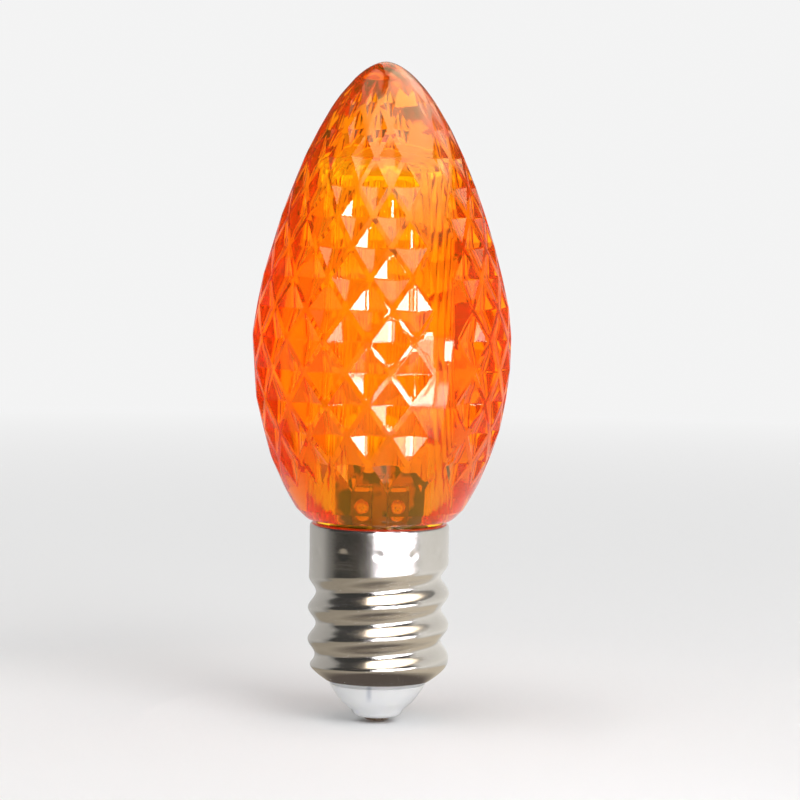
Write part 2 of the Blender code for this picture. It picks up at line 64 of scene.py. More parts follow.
# The centre contact is a tinned brass pin. Its domed head is pressed up into the insulator's nose,
# and the lampholder's spring rubs its small flat end.
MM = 0.001
contact_low, contact_high = (Vector(corner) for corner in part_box("centre_contact"))
CONTACT_FLAT = 0.4 * MM
CONTACT_HEAD = 1.15 * MM
CONTACT_DOME = 0.45 * MM
CONTACT_RIM = 0.3 * MM
CONTACT_SHANK = 0.5 * MM
CONTACT_EASE = 0.08 * MM


def arc(centre, radii, start_deg, end_deg, steps):
    """Points (radius, z) along an ellipse, both ends included."""
    turns = [math.radians(start_deg + (end_deg - start_deg) * i / steps) for i in range(steps + 1)]
    return [(centre[0] + radii[0] * math.cos(t), centre[1] + radii[1] * math.sin(t)) for t in turns]


def rounded(outline, size, steps=3):
    """An outline whose inner corners are eased by a small curve of about that size."""
    eased = [outline[0]]
    for before, corner, after in zip(outline, outline[1:], outline[2:]):
        corner = Vector(corner)
        ends = []
        for other in (Vector(before), Vector(after)):
            away = other - corner
            ends.append(corner + away * min(size / away.length, 0.45))
        for i in range(steps + 1):
            t = i / steps
            eased.append(tuple(ends[0].lerp(corner, t).lerp(corner.lerp(ends[1], t), t)))
    eased.append(outline[-1])
    return eased


def mesh_from(name, bm):
    """The mesh of a finished bmesh."""
    mesh = bpy.data.meshes.new(name)
    bm.to_mesh(mesh)
    bm.free()
    return mesh


def linked(name, data):
    """A new object in the scene with this mesh, lamp or camera."""
    made = bpy.data.objects.new(name, data)
    bpy.context.scene.collection.objects.link(made)
    return made


def show(name, bm, finish, smooth_deg=35.0):
    """Turns a finished bmesh into a piece of the object that rides with its one body."""
    bmesh.ops.recalc_face_normals(bm, faces=bm.faces)
    mesh = mesh_from(name, bm)
    mesh.shade_smooth()
    mesh.set_sharp_from_angle(angle=math.radians(smooth_deg))
    mesh.materials.append(finish)
    piece = linked(name, mesh)
    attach(piece, "root")
    return piece


def ring(bm, radius, z, sides, turn=0.0):
    """Vertices round the axis, or the one vertex on it where the radius is nothing."""
    if radius <= 0:
        return [bm.verts.new((0, 0, z))]
    step = math.tau / sides
    angles = [turn + i * step for i in range(sides)]
    return [bm.verts.new((radius * math.cos(a), radius * math.sin(a), z)) for a in angles]


def skin(bm, rings, closed=False):
    """Faces between rings that follow each other; one may be a single point."""
    follow = rings[1:] + rings[:1] if closed else rings[1:]
    for lower, upper in zip(rings, follow):
        count = max(len(lower), len(upper))
        for i in range(count):
            j = (i + 1) % count
            corners = [lower[i % len(lower)], lower[j % len(lower)]]
            corners += [upper[j % len(upper)], upper[i % len(upper)]]
            bm.faces.new(list(dict.fromkeys(corners)))


def turned(outline, sides, closed=False):
    """A piece turned on a lathe from an outline of (radius, z) points."""
    bm = bmesh.new()
    skin(bm, [ring(bm, radius, z, sides) for radius, z in outline], closed)
    return bm


class Finish:
    """A Principled material with the few node moves that the finishes below share."""

    def __init__(self, name, colour, roughness, metallic=0.0):
        self.made = bpy.data.materials.new(name)
        self.made.use_nodes = True
        self.nodes = self.made.node_tree.nodes
        self.links = self.made.node_tree.links
        self.shader = self.nodes["Principled BSDF"]
        self.set("Base Color", (*colour, 1.0))
        self.set("Roughness", roughness)
        self.set("Metallic", metallic)

    def set(self, socket, value):
        self.shader.inputs[socket].default_value = value

    def coordinates(self, stretch=(1, 1, 1), kind="Object"):
        """The place on the piece, in metres, or as shares of its box if the kind is Generated."""
        source = self.nodes.new("ShaderNodeTexCoord")
        mapping = self.nodes.new("ShaderNodeMapping")
        mapping.inputs["Scale"].default_value = stretch
        self.links.new(source.outputs[kind], mapping.inputs["Vector"])
        return mapping.outputs["Vector"]

    def axes(self, kind="Object"):
        """The X, Y and Z of the place on the piece, each on its own."""
        made = self.nodes.new("ShaderNodeSeparateXYZ")
        self.links.new(self.coordinates(kind=kind), made.inputs[0])
        return made.outputs

    def reckon(self, operation, first, second=None):
        """One sum or fold; the first operand is a socket, the second a socket, a number or none."""
        made = self.nodes.new("ShaderNodeMath")
        made.operation = operation
        self.links.new(first, made.inputs[0])
        if isinstance(second, float):
            made.inputs[1].default_value = second
        elif second is not None:
            self.links.new(second, made.inputs[1])
        return made.outputs[0]

    def noise(self, per_metre, stretch=(1, 1, 1), detail=3.0, roughness=0.5):
        made = self.nodes.new("ShaderNodeTexNoise")
        made.inputs["Scale"].default_value = per_metre
        made.inputs["Detail"].default_value = detail
        made.inputs["Roughness"].default_value = roughness
        self.links.new(self.coordinates(stretch), made.inputs["Vector"])
        return made.outputs["Fac"]

    def spread(self, source, from_low, from_high, to_low, to_high):
        """A value carried from one range to another and held at the ends."""
        made = self.nodes.new("ShaderNodeMapRange")
        limits = {"From Min": from_low, "From Max": from_high, "To Min": to_low, "To Max": to_high}
        for socket, value in limits.items():
            made.inputs[socket].default_value = value
        self.links.new(source, made.inputs["Value"])
        return made.outputs["Result"]

    def mix(self, share, low, high):
        """Two colours mixed by a share; each is a plain colour or a socket."""
        made = self.nodes.new("ShaderNodeMix")
        made.data_type = "RGBA"
        self.links.new(share, made.inputs["Factor"])
        for socket, colour in (("A", low), ("B", high)):
            target = next(s for s in made.inputs if s.name == socket and s.type == "RGBA")
            if isinstance(colour, tuple):
                target.default_value = (*colour, 1.0)
            else:
                self.links.new(colour, target)
        return next(s for s in made.outputs if s.type == "RGBA")

    def drive(self, socket, source):
        self.links.new(source, self.shader.inputs[socket])

    def light(self, colour, strength=None):
        """Plain light of one colour, as strong as a socket says."""
        made = self.nodes.new("ShaderNodeEmission")
        made.inputs["Color"].default_value = (*colour, 1.0)
        if strength:
            self.links.new(strength, made.inputs["Strength"])
        return made.outputs[0]

    def outside(self, surface):
        """Puts this surface in the place of the Principled one."""
        self.links.new(surface, self.nodes["Material Output"].inputs["Surface"])

    def bump(self, source, height, strength=1.0):
        """Fine relief, laid over any relief that is there already."""
        made = self.nodes.new("ShaderNodeBump")
        made.inputs["Distance"].default_value = height
        made.inputs["Strength"].default_value = strength
        previous = self.shader.inputs["Normal"].links
        if previous:
            self.links.new(previous[0].from_socket, made.inputs["Normal"])
        self.links.new(source, made.inputs["Height"])
        self.links.new(made.outputs["Normal"], self.shader.inputs["Normal"])


contact_z = contact_low.z
contact_outline = [(0, contact_z)]
contact_outline += arc(
    (CONTACT_FLAT, contact_z + CONTACT_DOME), (CONTACT_HEAD - CONTACT_FLAT, CONTACT_DOME), -90, 0, 12
)
contact_top = contact_z + CONTACT_DOME + CONTACT_RIM
contact_outline += rounded([
    (CONTACT_HEAD, contact_top - CONTACT_RIM / 2),
    (CONTACT_HEAD, contact_top),
    (CONTACT_SHANK, contact_top),
    (CONTACT_SHANK, contact_high.z),
    (0, contact_high.z),
], CONTACT_EASE)
tinned_brass = Finish("tinned_brass", (0.80, 0.70, 0.58), 0.28, metallic=1.0)
rubbed = tinned_brass.noise(1500)
tinned_brass.drive("Base Color", tinned_brass.mix(rubbed, (0.62, 0.46, 0.36), (0.90, 0.84, 0.74)))
tinned_brass.drive("Roughness", tinned_brass.spread(rubbed, 0.3, 0.7, 0.18, 0.36))
tinned_brass.bump(tinned_brass.noise(9000, detail=2), 0.01 * MM, 0.4)
contact = show("contact_pin", turned(contact_outline, 64), tinned_brass.made)
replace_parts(contact, "centre_contact")

# The insulator is a plug of milky white plastic, moulded in one piece. The shell's bottom edge is
# curled in round its neck, and the contact's pin goes up through its middle.
insulator_low, insulator_high = (Vector(corner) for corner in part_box("insulator"))
shell_low, shell_high = (Vector(corner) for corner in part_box("screw_shell"))
FIT_GAP = 0.3 * MM
SINK_RADIUS = CONTACT_HEAD + FIT_GAP
HOLE_RADIUS = CONTACT_SHANK + FIT_GAP
NOSE_RADIUS = 2.15 * MM
NOSE_HEIGHT = 0.55 * MM
SHOULDER_RADIUS = 3.0 * MM
SHOULDER_HEIGHT = 0.7 * MM
CONE_RADIUS = 4.05 * MM
NECK_RADIUS = 3.85 * MM
FLANGE_RADIUS = insulator_high.x
FLANGE_HEIGHT = 1.3 * MM
SHELL_WALL = 0.25 * MM
SINK_EASE = 0.05 * MM
CONE_BULGE = 0.06 * MM
NOSE_STEP = 0.02 * MM
PLUG_EASE = 0.2 * MM
WELD_OFFSET = 0.65 * MM
WELD_HALF_WIDTH = 0.05 * MM
WELD_BLUR = 0.30 * MM
WELD_START_HEIGHT = 1.9 * MM
WELD_FULL_HEIGHT = 2.6 * MM
nose_top = insulator_low.z + NOSE_HEIGHT
shoulder_top = nose_top + SHOULDER_HEIGHT
cone_top = shell_low.z - FIT_GAP
insulator_outline = arc((SINK_RADIUS, nose_top), (NOSE_RADIUS - SINK_RADIUS, NOSE_HEIGHT), -90, -14, 8)
insulator_outline += rounded([
    (NOSE_RADIUS + NOSE_STEP, nose_top),
    (SHOULDER_RADIUS, shoulder_top),
    ((SHOULDER_RADIUS + CONE_RADIUS) / 2 + CONE_BULGE, (shoulder_top + cone_top) / 2),
    (CONE_RADIUS, cone_top),
    (NECK_RADIUS, cone_top),
    (NECK_RADIUS, shell_low.z + SHELL_WALL / 2),
    (FLANGE_RADIUS, insulator_high.z - FLANGE_HEIGHT),
    (FLANGE_RADIUS, insulator_high.z),
    (HOLE_RADIUS, insulator_high.z),
    (HOLE_RADIUS, contact_top + FIT_GAP),
    (SINK_RADIUS, contact_top + FIT_GAP),
    (SINK_RADIUS, insulator_low.z + SINK_EASE),
], PLUG_EASE, steps=4)
milky_plastic = Finish("milky_plastic", (0.84, 0.87, 0.91), 0.32)
milky_plastic.set("Subsurface Weight", 0.55)
milky_plastic.set("Subsurface Radius", (1.0, 1.0, 1.1))
milky_plastic.set("Subsurface Scale", 0.9 * MM)
milky_plastic.set("IOR", 1.5)
cloud = milky_plastic.noise(450, detail=2)
places = milky_plastic.axes()
from_weld = milky_plastic.reckon("ABSOLUTE", milky_plastic.reckon("ADD", places["X"], WELD_OFFSET))
weld_line = milky_plastic.spread(from_weld, WELD_HALF_WIDTH, WELD_BLUR, 1.0, 0.0)
on_cone = milky_plastic.spread(places["Z"], WELD_START_HEIGHT, WELD_FULL_HEIGHT, 0.0, 1.0)
weld = milky_plastic.reckon("MULTIPLY", weld_line, on_cone)
clouded = milky_plastic.mix(cloud, (0.86, 0.88, 0.91), (0.94, 0.95, 0.96))
milky_plastic.drive("Base Color", milky_plastic.mix(weld, clouded, (0.62, 0.65, 0.70)))
milky_plastic.drive("Roughness", milky_plastic.spread(cloud, 0.3, 0.7, 0.24, 0.40))
milky_plastic.bump(milky_plastic.noise(2600, detail=2), 0.01 * MM, 0.35)
insulator = show(
    "insulator_plug", turned(insulator_outline, 96, closed=True), milky_plastic.made, 40
)
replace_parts(insulator, "insulator")

# The screw shell is thin brass sheet, drawn to a cup and nickel plated. The right-hand thread is
# rolled into it, so the inside has the same waves, and the plain band above is staked to the neck.
THREAD_RADIUS = 5.9 * MM
THREAD_DEPTH = 0.65 * MM
THREAD_PITCH = 2.65 * MM
GROOVE_TURNS = 2.45
GROOVE_FADE = 0.3
GROOVE_END_DROP = 4.55 * MM
BAND_RADIUS = 5.83 * MM
BAND_LENGTH = 3.4 * MM
BAND_EDGE = 0.35 * MM
LIP_RADIUS = 4.4 * MM
LIP_HEIGHT = 1.7 * MM
STAKE_COUNT = 12
STAKE_RADIUS = 0.55 * MM
STAKE_DEPTH = 0.05 * MM
STAKE_DROP = 2.15 * MM
SHELL_SIDES = 240
SHELL_STEP = 0.085 * MM
BAND_EDGE_STEPS = 6


def smooth_step(share):
    """A share from 0 to 1 that sets off and arrives gently."""
    share = min(max(share, 0.0), 1.0)
    return share * share * (3 - 2 * share)


def groove_depth(angle, z):
    """Depth of the rolled groove under the crests, at an angle from +X and a height."""
    depth = 0.0
    for turn in range(4):
        along = angle / math.tau - turn
        away = (z - shell_high.z + GROOVE_END_DROP - THREAD_PITCH * along) / THREAD_PITCH
        if abs(away) < 0.5:
            top_fade = 1 - smooth_step(along / GROOVE_FADE)
            bottom_fade = 1 - smooth_step((-along - GROOVE_TURNS) / GROOVE_FADE)
            depth += THREAD_DEPTH * top_fade * bottom_fade * math.cos(math.pi * away) ** 2
    return depth


def stake_depth(angle, z):
    """Depth of the ring of small punch marks that hold the shell on the lens."""
    pitch = math.tau / STAKE_COUNT
    across = ((angle + pitch / 2) % pitch - pitch / 2) * BAND_RADIUS
    away = math.hypot(across, z - shell_high.z + STAKE_DROP) / STAKE_RADIUS
    return STAKE_DEPTH * (1 - smooth_step(away))


def shell_radius(angle, z):
    """The outside of the shell: curled lip, threaded wall, plain band and its rounded top edge."""
    up = z - shell_low.z
    down = shell_high.z - z
    radius = LIP_RADIUS + (THREAD_RADIUS - LIP_RADIUS) * math.sin(math.pi / 2 * min(up / LIP_HEIGHT, 1))
    radius += (BAND_RADIUS - THREAD_RADIUS) * (1 - smooth_step((down - BAND_LENGTH) / THREAD_PITCH))
    if down < BAND_EDGE:
        share = 1 - down / BAND_EDGE
        radius -= SHELL_WALL * (1 - math.sqrt(max(1 - share * share, 0.0)))
    lip_share = smooth_step((up - LIP_HEIGHT / 2) / (LIP_HEIGHT / 2))
    return radius - groove_depth(angle, z) * lip_share - stake_depth(angle, z)


band_edge_z = shell_high.z - BAND_EDGE
shell_steps = round((band_edge_z - shell_low.z) / SHELL_STEP)
shell_heights = [shell_low.z + (band_edge_z - shell_low.z) * i / shell_steps for i in range(shell_steps)]
for i in range(BAND_EDGE_STEPS + 1):
    shell_heights.append(shell_high.z - BAND_EDGE * (1 - math.sin(math.pi / 2 * i / BAND_EDGE_STEPS)))
shell_angles = [math.tau * i / SHELL_SIDES for i in range(SHELL_SIDES)]
shell_bm = bmesh.new()
shell_rings = []
for inset, heights in ((0, shell_heights), (SHELL_WALL, shell_heights[::-1])):
    for z in heights:
        loop = []
        for angle in shell_angles:
            radius = shell_radius(angle, z) - inset
            loop.append(shell_bm.verts.new((radius * math.cos(angle), radius * math.sin(angle), z)))
        shell_rings.append(loop)
skin(shell_bm, shell_rings, closed=True)
nickel = Finish("nickel_plate", (0.74, 0.70, 0.64), 0.16, metallic=1.0)
brushing = nickel.noise(700, stretch=(1, 1, 14), detail=4)
smears = nickel.noise(260, detail=4, roughness=0.6)
nickel.drive("Base Color", nickel.mix(smears, (0.66, 0.62, 0.56), (0.80, 0.77, 0.72)))
nickel.drive("Roughness", nickel.spread(smears, 0.3, 0.7, 0.14, 0.24))
nickel.bump(brushing, 0.012 * MM, 0.35)
nickel.bump(nickel.noise(420, detail=2), 0.03 * MM, 0.35)
shell = show("threaded_shell", shell_bm, nickel.made, 60)
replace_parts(shell, "screw_shell")

# The circuit board is green glass-fibre laminate, pushed up into the hollow of the lens.
# Gilt copper areas lie between patches of the green mask, and both faces carry components.
board_low, board_high = (Vector(corner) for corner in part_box("circuit_board"))
laminate = Finish("green_laminate", (0.03, 0.20, 0.07), 0.35)
weave = laminate.noise(2200, stretch=(1, 1, 0.4), detail=2)
pours = laminate.spread(laminate.noise(420, detail=2), 0.46, 0.54, 0.0, 1.0)
laminate.drive("Base Color", laminate.mix(pours, (0.10, 0.17, 0.05), (0.85, 0.50, 0.14)))
laminate.bump(weave, 0.02 * MM, 0.3)
laminate.set("Coat Weight", 0.4)


def dress(name, finish):
    """Gives a piece that keeps its solid from the CAD its finish."""
    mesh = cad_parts[name].data
    mesh.materials.clear()
    mesh.materials.append(finish)


dress("circuit_board", laminate.made)

# Four LEDs in small moulded packages stand upright near the board's top edge, two to a face.
# Each has a brown resin body with a gilt reflector cup, a chip with its bond wire, and gilt ends.
LED_CUP = 0.60 * MM
LED_CUP_FLOOR = 0.42 * MM
LED_CUP_DEPTH = 0.42 * MM
LED_TERMINAL = 0.42 * MM
LED_CORNER_POWER = 9
TERMINAL_CORNER_POWER = 6
GILDING = 0.03 * MM
GILT_LEAF = 0.01 * MM
CHIP_FOOT = 0.17 * MM
CHIP_TOP = 0.16 * MM
CHIP_HEIGHT = 0.13 * MM
BOND_WIRE = 0.035 * MM
BOND_START = 0.12 * MM
BOND_RISE = 0.16 * MM
BOND_REACH = 0.19 * MM
BOND_STEPS = 8
BOND_SIDES = 6
brown_resin = Finish("brown_resin", (0.16, 0.09, 0.03), 0.25)
resin_cloud = brown_resin.noise(1500, detail=3)
brown_resin.drive("Base Color", brown_resin.mix(resin_cloud, (0.03, 0.02, 0.008), (0.50, 0.28, 0.08)))
brown_resin.bump(resin_cloud, 0.05 * MM, 0.6)
brown_resin.set("Coat Weight", 0.6)
gilt = Finish("gilt_metal", (0.95, 0.70, 0.30), 0.15, metallic=1.0)
gilt_grain = gilt.noise(2500, detail=2)
gilt.drive("Roughness", gilt.spread(gilt_grain, 0.3, 0.7, 0.08, 0.30))
gilt.bump(gilt_grain, 0.02 * MM, 0.6)


def squircle(bm, middle, half_x, half_z, y, power, sides=32):
    """A loop facing along Y, between an ellipse (power 2) and a rectangle with eased corners."""
    loop = []
    for i in range(sides):
        c, s = math.cos(math.tau * i / sides), math.sin(math.tau * i / sides)
        x = math.copysign(abs(c) ** (2 / power), c) * half_x
        z = math.copysign(abs(s) ** (2 / power), s) * half_z
        loop.append(bm.verts.new((middle.x + x, y, middle.z + z)))
    return loop


def closed_stack(bm, loops):
    """A skin over loops that follow each other, with a lid on both ends."""
    skin(bm, loops)
    for loop in (loops[0], loops[-1]):
        if len(loop) > 1:
            bm.faces.new(loop)


def moulded_body(bm, middle, half_x, half_z, foot_y, thick):
    """The resin package, with the round reflector cup sunk in its face.

    The foot is on the board, and the thickness is negative where the LED faces the front."""
    cup_floor_y = foot_y + thick - math.copysign(LED_CUP_DEPTH, thick)
    half_z -= LED_TERMINAL * 0.6
    loops = [
        squircle(bm, middle, half_x * wide, half_z * tall, foot_y + thick * out, LED_CORNER_POWER)
        for wide, tall, out in ((0.96, 0.98, 0), (1, 1, 0.1), (1, 1, 0.88), (0.95, 0.97, 0.97))
    ]
    loops.append(squircle(bm, middle, LED_CUP, LED_CUP, foot_y + thick * 0.97, 2))
    loops.append(squircle(bm, middle, LED_CUP_FLOOR, LED_CUP_FLOOR, cup_floor_y, 2))
    closed_stack(bm, loops)


def gilt_end(bm, spot, half_x, foot_y, thick):
    """The terminal that wraps one end of the package, from the board to its face."""
    half_z = LED_TERMINAL / 2
    closed_stack(bm, [
        squircle(bm, spot, half_x * wide, half_z * tall, foot_y + thick * out, TERMINAL_CORNER_POWER, 16)
        for wide, tall, out in ((0.70, 0.92, 0), (0.74, 1, 0.08), (0.74, 1, 0.93), (0.68, 0.84, 1))
    ])


def gilt_cup(bm, middle, rim_y, floor_y, outward):
    """The gilding of the reflector cup, a closed thin dish."""
    back_y = floor_y - outward * GILT_LEAF
    skin(bm, [
        squircle(bm, middle, LED_CUP * 0.97, LED_CUP * 0.97, rim_y, 2),
        squircle(bm, middle, LED_CUP_FLOOR * 0.95, LED_CUP_FLOOR * 0.95, floor_y, 2),
        [bm.verts.new((middle.x, floor_y, middle.z))],
        squircle(bm, middle, LED_CUP_FLOOR * 0.98, LED_CUP_FLOOR * 0.98, back_y, 2),
    ], closed=True)


def chip(bm, middle, floor_y, outward):
    """The square chip on the floor of the cup."""
    top_y = floor_y + outward * CHIP_HEIGHT
    closed_stack(bm, [
        squircle(bm, middle, CHIP_FOOT, CHIP_FOOT, floor_y, TERMINAL_CORNER_POWER, 16),
        squircle(bm, middle, CHIP_TOP, CHIP_TOP, top_y, TERMINAL_CORNER_POWER, 16),
    ])


def bond_wire(bm, middle, floor_y, outward):
    """The wire that arches from the top of the chip to the floor of the cup."""
    wire = []
    for i in range(BOND_STEPS + 1):
        turn = math.pi * i / BOND_STEPS
        y = floor_y + outward * (BOND_START + BOND_RISE * math.sin(turn))
        z = middle.z + BOND_REACH * (1 - math.cos(turn))
        loop = []
        for j in range(BOND_SIDES):
            around = math.tau * j / BOND_SIDES
            beside, above = BOND_WIRE * math.cos(around), BOND_WIRE * math.sin(around)
            place = (middle.x + beside, y + above * math.sin(turn), z + above * math.cos(turn))
            loop.append(bm.verts.new(place))
        wire.append(loop)
    closed_stack(bm, wire)


for face, outward in (("front", -1), ("back", 1)):
    for side in ("left", "right"):
        led = f"led_{face}_{side}"
        low, high = (Vector(corner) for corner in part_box(led))
        middle = (low + high) / 2
        half_x, half_z = (high.x - low.x) / 2, (high.z - low.z) / 2
        foot_y = high.y if face == "front" else low.y
        thick = (high.y - low.y) * outward
        body_bm = bmesh.new()
        moulded_body(body_bm, middle, half_x, half_z, foot_y, thick)
        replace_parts(show(f"{led}_body", body_bm, brown_resin.made, 40), led)
        metal_bm = bmesh.new()
        for end in (-1, 1):
            spot = middle + Vector((0, 0, end * (half_z - LED_TERMINAL / 2)))
            gilt_end(metal_bm, spot, half_x, foot_y, thick)
        floor_y = foot_y + thick - outward * (LED_CUP_DEPTH - GILDING)
        gilt_cup(metal_bm, middle, foot_y + thick * 0.975, floor_y, outward)
        chip(metal_bm, middle, floor_y, outward)
        bond_wire(metal_bm, middle, floor_y, outward)
        show(f"{led}_metal", metal_bm, gilt.made, 40)

# Chip resistors, the chip capacitor and the rectifier feed the LEDs, and the fuse resistor stands
# on its wires behind the foot of the board. The chips are fired ceramic with tinned ends, glazed on
# the resistors; the rectifier is moulded in black resin, and the fuse resistor dipped in lacquer.
CAP_BLUR = 0.02


def chip_finish(name, low, high, axis, cap_share):
    """A fired body between two tinned ends that lie along one axis of its box."""
    made = Finish(name, low, 0.4)
    from_end = made.reckon("PINGPONG", made.axes("Generated")[axis], 0.5)
    tinned = made.spread(from_end, cap_share, cap_share + CAP_BLUR, 1.0, 0.0)
    speckle = made.noise(2600, detail=3)
    made.drive("Base Color", made.mix(tinned, made.mix(speckle, low, high), (0.86, 0.84, 0.80)))
    made.drive("Metallic", tinned)
    made.bump(speckle, 0.015 * MM, 0.4)
    return made.made


upright_chip = chip_finish("chip_glaze", (0.03, 0.03, 0.035), (0.07, 0.07, 0.08), "Z", 0.2)
level_chip = chip_finish("chip_glaze_level", (0.30, 0.10, 0.02), (0.55, 0.22, 0.05), "X", 0.2)
ceramic = chip_finish("capacitor_ceramic", (0.46, 0.32, 0.19), (0.60, 0.45, 0.28), "X", 0.13)
resin_finish = Finish("rectifier_resin", (0.03, 0.03, 0.03), 0.5)
resin_grain = resin_finish.noise(3000, detail=3)
resin_finish.drive("Roughness", resin_finish.spread(resin_grain, 0.3, 0.7, 0.4, 0.6))
resin_finish.bump(resin_grain, 0.02 * MM, 0.5)
lacquer = Finish("resistor_lacquer", (0.50, 0.38, 0.25), 0.45)
lacquer_cloud = lacquer.noise(900, detail=3)
lacquer.drive("Base Color", lacquer.mix(lacquer_cloud, (0.42, 0.30, 0.18), (0.60, 0.47, 0.32)))
lacquer.bump(lacquer_cloud, 0.03 * MM, 0.4)
for name, finish in (
    ("chip_resistor_left", upright_chip),
    ("chip_resistor_right", upright_chip),
    ("chip_resistor_top", level_chip),
    ("chip_capacitor", ceramic),
    ("bridge_rectifier", resin_finish.made),
    ("fuse_resistor", lacquer.made),
):
    dress(name, finish)

# Tinned copper leads and solder join the circuit to the shell and to the centre contact.
# Concave fillets of solder hold the LEDs and the chips down on their pads.
solder_finish = Finish("bright_solder", (0.70, 0.68, 0.64), 0.2, metallic=1.0)
solder_grain = solder_finish.noise(1600, detail=3)
solder_finish.drive("Roughness", solder_finish.spread(solder_grain, 0.3, 0.7, 0.12, 0.35))
solder_finish.bump(solder_grain, 0.03 * MM, 0.6)
for name in ("centre_solder", "side_solder", "side_lead"):
    dress(name, solder_finish.made)
PAD_THICKNESS = 0.05 * MM
PAD_REACH = 0.35 * MM
FILLET_SHARE = 0.75
FILLET_STEPS = 5
FILLET_END_SQUEEZE = 0.8


def solder_fillet(name, part, level, end):
    """A pad on the board and the concave wedge of solder from it up the end of a component."""
    low, high = (Vector(corner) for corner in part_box(part))
    facing = -1 if low.y < board_low.y else 1
    board_y = board_low.y if facing < 0 else board_high.y
    part_near = high.y if facing < 0 else low.y
    part_far = low.y if facing < 0 else high.y
    rise = (part_far - part_near) * FILLET_SHARE + part_near - board_y
    along = "x" if level else "z"
    crossing = "z" if level else "x"
    edge = getattr(high if end > 0 else low, along)
    inner = edge - end * PAD_REACH
    outer = edge + end * PAD_REACH
    half = (getattr(high, crossing) - getattr(low, crossing)) / 2
    middle = (getattr(high, crossing) + getattr(low, crossing)) / 2
    bite = facing * PAD_THICKNESS / 4
    under = part_near - board_y - facing * PAD_THICKNESS
    profile = [(inner, bite), (inner, under), (edge + end * PAD_THICKNESS, under)]
    for i in range(FILLET_STEPS + 1):
        turn = math.pi / 2 * i / FILLET_STEPS
        out = (outer - edge) * (1 - math.cos(turn))
        height = rise * (1 - math.sin(turn)) + facing * PAD_THICKNESS
        profile.append((edge + end * PAD_THICKNESS + out, height))
    profile.append((outer, bite))
    bm = bmesh.new()
    layers = []
    for share in (-1, -0.9, 0, 0.9, 1):
        squeeze = FILLET_END_SQUEEZE if abs(share) == 1 else 1.0
        layer = []
        for position, height in profile:
            spot = Vector((0, board_y + height * squeeze, 0))
            setattr(spot, along, position)
            setattr(spot, crossing, middle + half * share)
            layer.append(bm.verts.new(spot))
        layers.append(layer)
    skin(bm, layers)
    bm.faces.new(layers[0])
    bm.faces.new(layers[-1])
    show(name, bm, solder_finish.made, 30)


for part, level in (
    ("led_front_left", False),
    ("led_front_right", False),
    ("led_back_left", False),
    ("led_back_right", False),
    ("chip_resistor_left", False),
    ("chip_resistor_right", False),
    ("chip_resistor_top", True),
    ("chip_capacitor", True),
):
    for end, word in ((-1, "low"), (1, "high")):
        solder_fillet(f"{part}_fillet_{word}", part, level, end)

# The lens is one moulding of clear orange acrylic. Its mould was turned to the candle outline and
# then engraved, so the diamonds are sunk and narrow lands of the turned surface stand between them.
# The core pin left fine draw lines down the hollow, and the neck below the rim is glued in the shell.
lens_low, lens_high = (Vector(corner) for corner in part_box("lens"))
LENS_RADIUS = 10.8 * MM
BELLY_HEIGHT = 16.1 * MM
TIP_ROUNDNESS = 1.22
TIP_POWER = 0.562
FOOT_RADIUS = 7.0 * MM
FOOT_HEIGHT = 0.92 * MM
RIM_RADIUS = 6.0 * MM
WAIST_POWER = 2.5
FACETS_AROUND = 18
FACET_ROWS = 14
FIRST_ROW_FROM_TIP = 2.95 * MM
LAST_ROW_FROM_FOOT = 2.2 * MM
FACET_DEPTH = 0.62 * MM
FACET_LAND = 0.4 * MM
FACET_PHASE_DEG = 4.4
PARTING_FIRST_COLUMN = 2
PARTING_COLUMNS = 2
CREASE_WIDTH = 0.45 * MM
LEVEL_CREASE_SHARE = 0.16
LAND_EDGE_SHARE = 0.05
BORE_RADIUS = 4.2 * MM
BORE_TOP_RADIUS = 3.95 * MM
BORE_DEPTH = 34.0 * MM
BORE_DOME = 2.4 * MM
BORE_SIDES_PER_COLUMN = 6
BORE_RINGS = 24
DRAW_LINES = 14
DRAW_LINE_HEIGHT = 0.006 * MM
DRAW_LINE_LEAN = 3 * MM
UPPER_STEPS = 400
LOWER_STEPS = 200
TIP_CAP_RINGS = (0.05, 0.12, 0.22, 0.34, 0.5, 0.66, 0.83)
COLLAR_SHARE = 0.8
COLLAR_RINGS = (0.6, 0.4, 0.2, 0)
FOOT_FLARE = 0.35 * MM
FOOT_FLARE_HEIGHT = 0.28 * MM
FOOT_EASE = 0.12 * MM
STRIP_CUTS = 3
rim_z = shell_high.z + FIT_GAP
lens_neck_radius = BAND_RADIUS - SHELL_WALL - FIT_GAP
columns = 2 * FACETS_AROUND
column_angle = math.tau / columns
facet_phase = math.radians(FACET_PHASE_DEG - 90)


def lens_outline():
    """The outside from the tip to the foot, as (distance along it, radius, z)."""
    upper = lens_high.z - rim_z - BELLY_HEIGHT
    waist = BELLY_HEIGHT - FOOT_HEIGHT
    points = []
    for i in range(UPPER_STEPS):
        share = 1 - (i / UPPER_STEPS) ** 2
        radius = LENS_RADIUS * (1 - share ** TIP_ROUNDNESS) ** TIP_POWER
        points.append((radius, rim_z + BELLY_HEIGHT + upper * share))
    for i in range(LOWER_STEPS + 1):
        share = i / LOWER_STEPS
        radius = LENS_RADIUS - (LENS_RADIUS - FOOT_RADIUS) * share ** WAIST_POWER
        points.append((radius, rim_z + BELLY_HEIGHT - waist * share))
    outline = [(0.0, *points[0])]
    for before, after in zip(points, points[1:]):
        outline.append((outline[-1][0] + math.dist(before, after), *after))
    return outline


outline = lens_outline()
outline_length = outline[-1][0]
row_step = (outline_length - LAST_ROW_FROM_FOOT - FIRST_ROW_FROM_TIP) / FACET_ROWS


